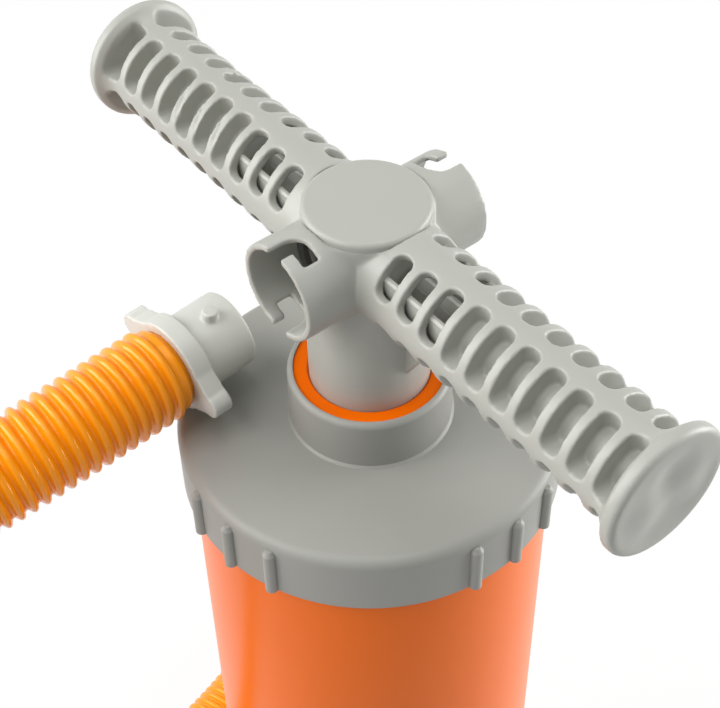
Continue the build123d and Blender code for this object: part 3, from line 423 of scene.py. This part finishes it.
def dished_ends(centre, way, face, radius, depth):
    """Hollow the two round end faces of a grip bar, with soft thumb-sized dimples."""
    tree = bpy.data.node_groups.new("dished_ends", "GeometryNodeTree")
    for in_out in ("INPUT", "OUTPUT"):
        tree.interface.new_socket(
            name="Geometry", in_out=in_out, socket_type="NodeSocketGeometry"
        )
    source = tree.nodes.new("NodeGroupInput").outputs[0]
    sink = tree.nodes.new("NodeGroupOutput").inputs[0]
    place = tree.nodes.new("GeometryNodeInputPosition").outputs[0]
    facing = tree.nodes.new("GeometryNodeInputNormal").outputs[0]

    def number(operation, *values):
        return maths(tree, operation, *values)

    def vector(operation, *values):
        return wire(tree, "ShaderNodeVectorMath", *values, operation=operation)

    arm = vector("SUBTRACT", place, tuple(centre)).outputs["Vector"]
    reach = vector("DOT_PRODUCT", arm, tuple(way)).outputs["Value"]
    tilt = vector("DOT_PRODUCT", facing, tuple(way)).outputs["Value"]
    length = vector("LENGTH", arm).outputs["Value"]
    end_side = number("SIGN", reach)
    is_far = number("GREATER_THAN", number("ABSOLUTE", reach), face)
    faces_out = number("GREATER_THAN", number("MULTIPLY", tilt, end_side), END_FACING)
    chosen = number("MULTIPLY", is_far, faces_out)
    off_axis = number(
        "SUBTRACT", number("MULTIPLY", length, length), number("MULTIPLY", reach, reach)
    )
    share = number("DIVIDE", off_axis, radius * radius)
    bowl = number("MAXIMUM", number("SUBTRACT", 1.0, share), 0.0)
    bowl = number("MULTIPLY", bowl, chosen)
    dents = noise(tree, place, DENT_SCALE, 0.0)
    relief = number("SUBTRACT", number("MULTIPLY", dents, DENT_GAIN), DENT_SHIFT)
    push = number(
        "MULTIPLY", number("MULTIPLY", bowl, relief), number("MULTIPLY", end_side, depth)
    )
    offset = vector("SCALE", tuple(way))
    tree.links.new(push, offset.inputs["Scale"])
    move = tree.nodes.new("GeometryNodeSetPosition")
    tree.links.new(source, move.inputs["Geometry"])
    tree.links.new(offset.outputs["Vector"], move.inputs["Offset"])
    tree.links.new(move.outputs["Geometry"], sink)
    return tree


def soften(name, voxel, rounds, keep, shaping=None):
    """Moulded edges: a close remesh of a CAD node, smoothed, shaped and thinned out."""
    node = nodes[name]
    remesh = node.modifiers.new("remesh", "REMESH")
    remesh.mode = "VOXEL"
    remesh.voxel_size = voxel
    remesh.use_smooth_shade = True
    smooth = node.modifiers.new("smooth", "SMOOTH")
    smooth.factor = 0.5
    smooth.iterations = rounds
    if shaping:
        step = node.modifiers.new("shaping", "NODES")
        step.node_group = shaping
    thin = node.modifiers.new("thin", "DECIMATE")
    thin.ratio = keep


end_shape = dished_ends(GRIP_CENTRE, GRIP_WAY, DISH_FACE, DISH_RADIUS, DISH_DEPTH)
soften("handle", voxel=0.5 * MM, rounds=6, keep=0.25, shaping=end_shape)
soften("hose_connector", voxel=0.4 * MM, rounds=5, keep=0.3)

# Webs in the grips' hollow roots; heights count from the grips' axis
WEB_START_GAP = 1.0 * MM
WEB_LENGTH = 28.0 * MM
SIDE_WEB = {"across_mid": 10.0 * MM, "wall": 2.0 * MM, "low": -7.4 * MM, "high": 8.4 * MM}
MIDDLE_WEB = {"across_mid": 0.0, "wall": 1.8 * MM, "low": -3.0 * MM, "high": 6.5 * MM}


def upright(mesh, way_from, way_to, across_mid, wall, low, high):
    """A thin upright wall along the grips, with its top edge bevelled."""
    outline = (
        (-wall / 2, low),
        (-wall / 2, high - wall / 3),
        (-wall / 5, high),
        (wall / 5, high),
        (wall / 2, high - wall / 3),
        (wall / 2, low),
    )
    near, away = [
        [
            mesh.verts.new(
                GRIP_CENTRE
                + GRIP_WAY * along_way
                + (PORT_WAY * (across_mid + across) + UP * level)
            )
            for across, level in outline
        ]
        for along_way in (way_from, way_to)
    ]
    mesh.faces.new(near)
    mesh.faces.new(away)
    bridge(mesh, near, away)


def grip_webs():
    """Upright webs inside the hollow roots of both grips, seen through the first openings."""
    lid_low, lid_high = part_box("hub_lid")
    start = (lid_high[0] - lid_low[0]) / 2 + WEB_START_GAP
    finish = start + WEB_LENGTH
    mesh = bmesh.new()
    for end in (-1, 1):
        for side in (-1, 1):
            web = dict(SIDE_WEB, across_mid=side * SIDE_WEB["across_mid"])
            upright(mesh, end * start, end * finish, **web)
        upright(mesh, end * (start + WEB_START_GAP), end * finish, **MIDDLE_WEB)
    webs = mesh_object("grip_webs", mesh, smooth=False)
    webs.data.materials.append(handle_grey)
    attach(webs, "rod")


grip_webs()

# ================================================================ floor, world and lights
FLOOR_SIZE = 12.0
FLOOR_DROP = 0.0002
FLOOR_GREY = (0.55, 0.55, 0.55, 1.0)
FLOOR_GLOW = 1.06
FLOOR_GLOW_SHARE = 0.86
WORLD_LIGHT = 0.28
WORLD_SEEN_EXTRA = 0.72

# name, place, target, size, power in watts
LIGHTS = [
    ("left_box", (-1.5, 0.0, 0.85), (0, 0, 0.32), (1.0, 1.4), 21.5),
    ("right_box", (1.5, 0.4, 0.5), (0, 0, 0.32), (1.0, 1.4), 31.0),
    ("top_box", (0.25, 0.15, 1.9), (0, 0, 0.38), (1.2, 1.0), 7.0),
    ("top_left_box", (-0.8, -0.45, 1.45), (-0.1, 0, 0.36), (0.9, 0.9), 9.5),
]


def seen_share(tree):
    """1 for rays that show the background: from the camera, in a reflection or through glass."""
    path = tree.nodes.new("ShaderNodeLightPath").outputs
    mirrored = maths(tree, "MAXIMUM", path["Is Camera Ray"], path["Is Glossy Ray"])
    return maths(tree, "MAXIMUM", mirrored, path["Is Transmission Ray"])


def make_floor():
    """A pale floor that keeps the object's shadow and is seen as white."""
    bpy.ops.mesh.primitive_plane_add(size=FLOOR_SIZE, location=(0, 0, -FLOOR_DROP))
    floor = bpy.context.object
    floor.name = "floor"
    material, tree, shader = new_material("floor_white")
    shader.inputs["Base Color"].default_value = FLOOR_GREY
    shader.inputs["Roughness"].default_value = 0.9
    glow = tree.nodes.new("ShaderNodeEmission")
    glow.inputs["Color"].default_value = WHITE
    glow.inputs["Strength"].default_value = FLOOR_GLOW
    share = maths(tree, "MULTIPLY", seen_share(tree), FLOOR_GLOW_SHARE)
    mix = wire(
        tree, "ShaderNodeMixShader", share, shader.outputs["BSDF"], glow.outputs["Emission"]
    )
    surface = tree.nodes["Material Output"].inputs["Surface"]
    tree.links.new(mix.outputs["Shader"], surface)
    floor.data.materials.append(material)


def make_world():
    """A plain surrounding that lights softly and is seen as white."""
    world = bpy.data.worlds.new("studio")
    bpy.context.scene.world = world
    world.use_nodes = True
    tree = world.node_tree
    back = tree.nodes["Background"]
    back.inputs["Color"].default_value = WHITE
    extra = maths(tree, "MULTIPLY", seen_share(tree), WORLD_SEEN_EXTRA)
    strength = maths(tree, "ADD", extra, WORLD_LIGHT)
    tree.links.new(strength, back.inputs["Strength"])


def area_light(name, place, target, size, power):
    data = bpy.data.lights.new(name, "AREA")
    data.shape = "RECTANGLE"
    data.size, data.size_y = size
    data.energy = power
    lamp = bpy.data.objects.new(name, data)
    lamp.location = place
    way = Vector(target) - Vector(place)
    lamp.rotation_euler = way.to_track_quat("-Z", "Y").to_euler()
    bpy.context.collection.objects.link(lamp)


make_floor()
make_world()
for light in LIGHTS:
    area_light(*light)
bpy.context.scene.view_settings.view_transform = "Standard"
